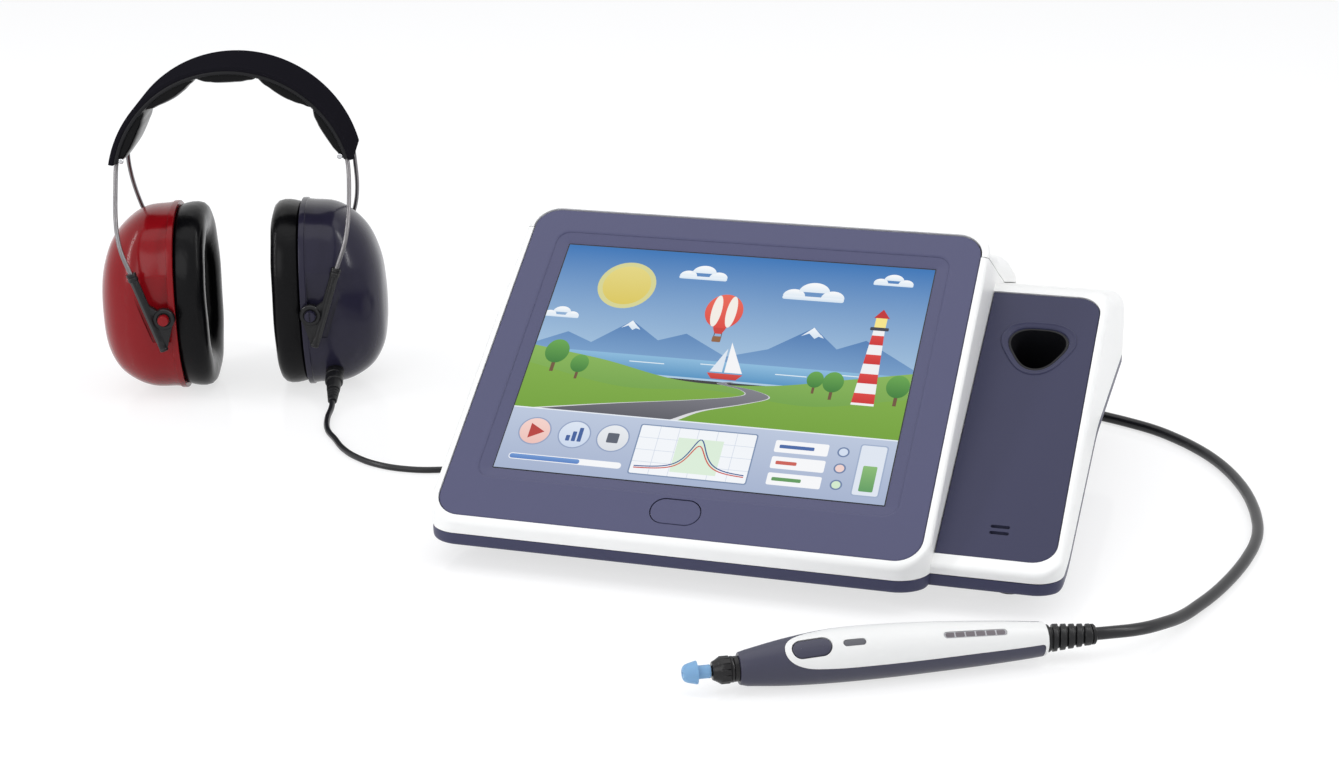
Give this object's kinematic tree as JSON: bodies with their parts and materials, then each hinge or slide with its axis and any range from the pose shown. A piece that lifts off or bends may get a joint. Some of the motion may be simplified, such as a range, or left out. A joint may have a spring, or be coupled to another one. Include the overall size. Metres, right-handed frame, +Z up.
{
  "type": "tympanometer",
  "caption": "Desktop tympanometer with tilted touch screen, printer lid and probe holder, with hand probe, ear-muff headset and coiled cords",
  "frame": {"origin": "on the table, under the middle of the bounding box of device, probe and headset, cords left out", "axes": "+X to the right seen from the user, +Y away from the user to the connectors, +Z up"},
  "size_m": [0.5944, 0.4298, 0.1718],
  "materials": {
    "black_plastic": "satin",
    "slate_plastic": "fine satin texture",
    "blue_shell": "polished",
    "leather": "soft artificial leather",
    "steel": "satin",
    "rubber": "matt",
    "tip_silicone": "soft silicone",
    "cord_jacket": "smooth PVC jacket",
    "brass": "turned",
    "grey_window": "smoked, polished",
    "circuit": "solder resist",
    "paper": "thermal paper",
    "white_plastic": "smooth, light satin",
    "panel_plastic": "fine satin texture",
    "red_shell": "polished",
    "screen_glass": "glossy, over a lit display"
  },
  "bodies": {
    "base": {"alert_speaker": "black_plastic", "base_tray": "slate_plastic", "blue_cup_shell": "blue_shell", "blue_cushion": "leather", "blue_driver_plate": "black_plastic", "case_screw_left": "steel", "case_screw_right": "steel", "cup_gland": "rubber", "display_bezel": "slate_plastic", "foot_front_left": "rubber", "foot_front_right": "rubber", "foot_rear_left": "rubber", "foot_rear_right": "rubber", "headset_cord": "cord_jacket", "headset_cord_coil": "cord_jacket", "headset_cord_tail": "cord_jacket", "headset_plug": "black_plastic", "headset_socket": "brass", "lcd_module": "steel", "level_window": "grey_window", "lid_hinge_rod": "steel", "main_board": "circuit", "power_inlet": "black_plastic", "pressure_pump": "steel", "print_head": "steel", "printer_frame": "black_plastic", "probe_board": "circuit", "probe_cord": "cord_jacket", "probe_cord_coil": "cord_jacket", "probe_cord_tail": "cord_jacket", "probe_holder": "black_plastic", "probe_lower_shell": "slate_plastic", "probe_panel": "panel_plastic", "probe_plug": "black_plastic", "probe_socket": "steel", "probe_strain_relief": "rubber", "probe_tip": "black_plastic", "probe_upper_shell": "white_plastic", "rear_plate": "black_plastic", "status_window": "grey_window", "top_housing": "white_plastic", "touch_glass": "screen_glass", "valve_block": "brass"},
    "power_button_group": {"power_button": "slate_plastic"},
    "printer_lid_group": {"printer_lid": "white_plastic"},
    "platen_group": {"platen_roller": "rubber"},
    "paper_group": {"paper_roll": "paper"},
    "probe_button_group": {"probe_button": "slate_plastic"},
    "ear_tip_group": {"ear_tip": "tip_silicone"},
    "nose_cap_group": {"nose_cap": "black_plastic"},
    "blue_clips": {"blue_front_clip": "black_plastic", "blue_rear_clip": "black_plastic"},
    "band": {"headband": "leather", "front_wire": "steel", "rear_wire": "steel"},
    "red_clips": {"red_front_clip": "black_plastic", "red_rear_clip": "black_plastic"},
    "red_cup": {"red_cup_shell": "red_shell", "red_cushion": "leather", "red_driver_plate": "black_plastic"}
  },
  "joints": [
    {"name": "power_button_press", "type": "slide", "parent": "base", "child": "power_button_group", "axis": [0, 0.5505, -0.8348], "range_m": [0, 0.0008], "stiffness_N_per_m": 300},
    {"name": "printer_lid_open", "type": "hinge", "parent": "base", "child": "printer_lid_group", "pos_m": [0.09998, 0.15034, 0.07701], "axis": [-1, 0, 0], "range_deg": [0, 68]},
    {"name": "platen_roll", "type": "hinge", "parent": "base", "child": "platen_group", "pos_m": [0.09998, 0.10584, 0.08038], "axis": [1, 0, 0], "continuous": true},
    {"name": "paper_roll_turn", "type": "hinge", "parent": "base", "child": "paper_group", "pos_m": [0.09998, 0.12284, 0.06455], "axis": [1, 0, 0], "continuous": true},
    {"name": "probe_button_press", "type": "slide", "parent": "base", "child": "probe_button_group", "axis": [-0.3059, 0.5951, -0.7431], "range_m": [0, 0.0006], "stiffness_N_per_m": 250},
    {"name": "ear_tip_pull", "type": "slide", "parent": "base", "child": "ear_tip_group", "axis": [-0.8894, -0.4571, 0], "range_m": [0, 0.012]},
    {"name": "nose_cap_turn", "type": "hinge", "parent": "base", "child": "nose_cap_group", "pos_m": [0.14242, -0.16785, 0.00875], "axis": [0.8894, 0.4571, 0], "range_deg": [0, 360]},
    {"name": "blue_clips_swing", "type": "hinge", "parent": "base", "child": "blue_clips", "pos_m": [-0.1536, 0.12887, 0.04754], "axis": [-0.342, 0.9397, 0], "range_deg": [-8, 8]},
    {"name": "blue_side_extend", "type": "slide", "parent": "blue_clips", "child": "band", "axis": [0.2935, 0.1068, 0.95], "range_m": [0, 0.022]},
    {"name": "red_side_extend", "type": "slide", "parent": "band", "child": "red_clips", "axis": [0.2935, 0.1068, -0.95], "range_m": [0, 0.022]},
    {"name": "red_cup_swing", "type": "hinge", "parent": "red_clips", "child": "red_cup", "pos_m": [-0.22244, 0.10381, 0.04754], "axis": [-0.342, 0.9397, 0], "range_deg": [-8, 8]}
  ]
}
